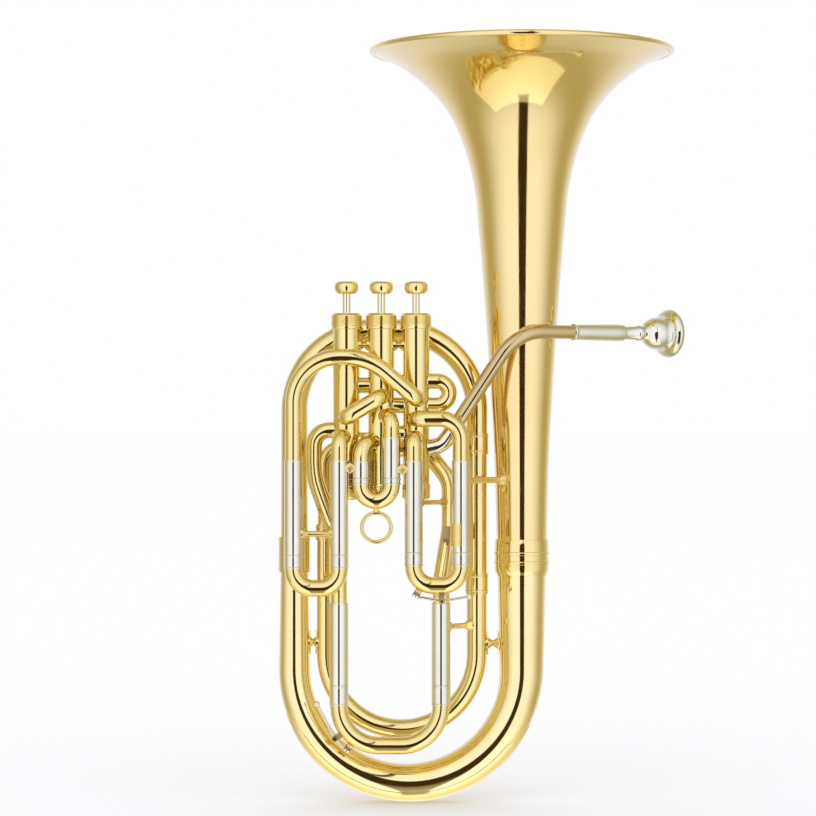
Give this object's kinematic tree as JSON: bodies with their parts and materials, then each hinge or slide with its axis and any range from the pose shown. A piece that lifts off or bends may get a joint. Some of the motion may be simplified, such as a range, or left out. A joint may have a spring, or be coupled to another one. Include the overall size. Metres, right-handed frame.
{
  "type": "baritone horn",
  "caption": "Upright piston-valve brass horn with a flared bell, oval-wrapped conical bows, sliding tuning crooks, water keys and a cup mouthpiece",
  "frame": {"origin": "lowest point of the bottom bow's guard, in the plane of the bell and bow axes", "axes": "+X from the tuning-slide side to the bell side, +Y from the valve-slide side to the back, +Z along the bell axis toward its mouth"},
  "size_m": [0.3096, 0.2308, 0.57],
  "materials": {
    "bell_brass": "lacquered and polished yellow brass",
    "tube_brass": "lacquered and polished yellow brass tubing",
    "button_brass": "polished yellow brass",
    "nickel_silver": "polished nickel silver",
    "silver_plate": "bright silver plate",
    "rose_brass": "lacquered red brass",
    "piston_metal": "honed nickel alloy",
    "spring_steel": "drawn spring steel",
    "cork": "bare cork"
  },
  "bodies": {
    "horn": {"bell": "bell_brass", "bell_ferrule": "tube_brass", "bottom_bow": "tube_brass", "bow_guard": "tube_brass", "top_bow": "tube_brass", "right_branch": "tube_brass", "inner_bow": "tube_brass", "branch_ferrules": "tube_brass", "left_ferrule": "tube_brass", "riser_tube": "tube_brass", "s_tube": "tube_brass", "leadpipe": "rose_brass", "leadpipe_joint": "nickel_silver", "receiver": "silver_plate", "casing_1": "tube_brass", "casing_2": "tube_brass", "casing_3": "tube_brass", "top_caps": "tube_brass", "bottom_caps": "tube_brass", "valve_links": "tube_brass", "compensating_loop": "tube_brass", "front_link": "tube_brass", "valve_elbows": "tube_brass", "first_arch": "tube_brass", "third_arch": "tube_brass", "tuning_sleeves": "nickel_silver", "first_sleeves": "nickel_silver", "second_sleeves": "nickel_silver", "third_sleeves": "nickel_silver", "valve_braces": "tube_brass", "sleeve_diamonds": "tube_brass", "bow_braces": "tube_brass", "slide_braces": "tube_brass"},
    "valve_1": {"piston_1": "piston_metal", "button_1": "button_brass", "spring_1": "spring_steel"},
    "valve_2": {"piston_2": "piston_metal", "button_2": "button_brass", "spring_2": "spring_steel"},
    "valve_3": {"piston_3": "piston_metal", "button_3": "button_brass", "spring_3": "spring_steel"},
    "tuning_slide": {"tuning_legs": "nickel_silver", "tuning_crook": "tube_brass", "tuning_key_saddle": "tube_brass", "tuning_key_pin": "silver_plate"},
    "tuning_key": {"tuning_key_lever": "silver_plate", "tuning_key_cork": "cork"},
    "first_slide": {"first_legs": "nickel_silver", "first_crook": "tube_brass", "first_key_saddle": "tube_brass", "first_key_pin": "silver_plate"},
    "first_key": {"first_key_lever": "silver_plate", "first_key_cork": "cork"},
    "second_slide": {"second_legs": "nickel_silver", "second_crook": "tube_brass", "second_pull_ring": "tube_brass"},
    "third_slide": {"third_legs": "nickel_silver", "third_crook": "tube_brass"},
    "mouthpiece_body": {"mouthpiece": "silver_plate"}
  },
  "joints": [
    {"name": "valve_1_stroke", "type": "slide", "parent": "horn", "child": "valve_1", "axis": [0, 0, -1], "range_m": [0, 0.0135], "stiffness_N_per_m": 120, "springref_m": -0.015, "deforming": ["spring_1"]},
    {"name": "valve_2_stroke", "type": "slide", "parent": "horn", "child": "valve_2", "axis": [0, 0, -1], "range_m": [0, 0.0135], "stiffness_N_per_m": 120, "springref_m": -0.015, "deforming": ["spring_2"]},
    {"name": "valve_3_stroke", "type": "slide", "parent": "horn", "child": "valve_3", "axis": [0, 0, -1], "range_m": [0, 0.0135], "stiffness_N_per_m": 120, "springref_m": -0.015, "deforming": ["spring_3"]},
    {"name": "tuning_slide_pull", "type": "slide", "parent": "horn", "child": "tuning_slide", "axis": [0, 0, -1], "range_m": [0, 0.05]},
    {"name": "first_slide_pull", "type": "slide", "parent": "horn", "child": "first_slide", "axis": [0, 0, -1], "range_m": [0, 0.05]},
    {"name": "second_slide_pull", "type": "slide", "parent": "horn", "child": "second_slide", "axis": [0, 0, -1], "range_m": [0, 0.008]},
    {"name": "third_slide_pull", "type": "slide", "parent": "horn", "child": "third_slide", "axis": [0, 0, -1], "range_m": [0, 0.05]},
    {"name": "tuning_key_pivot", "type": "hinge", "parent": "tuning_slide", "child": "tuning_key", "pos_m": [-0.0548, -0.024, 0.0506], "axis": [0, 1, 0], "range_deg": [0, 12], "stiffness_Nm_per_rad": 0.02, "springref_deg": -20.05},
    {"name": "first_key_pivot", "type": "hinge", "parent": "first_slide", "child": "first_key", "pos_m": [0.025, -0.042, 0.1546], "axis": [0, -1, 0], "range_deg": [0, 10], "stiffness_Nm_per_rad": 0.02, "springref_deg": -20.05},
    {"name": "mouthpiece_lift", "type": "slide", "parent": "horn", "child": "mouthpiece_body", "axis": [0.866, 0.5, 0], "range_m": [0, 0.03]}
  ]
}
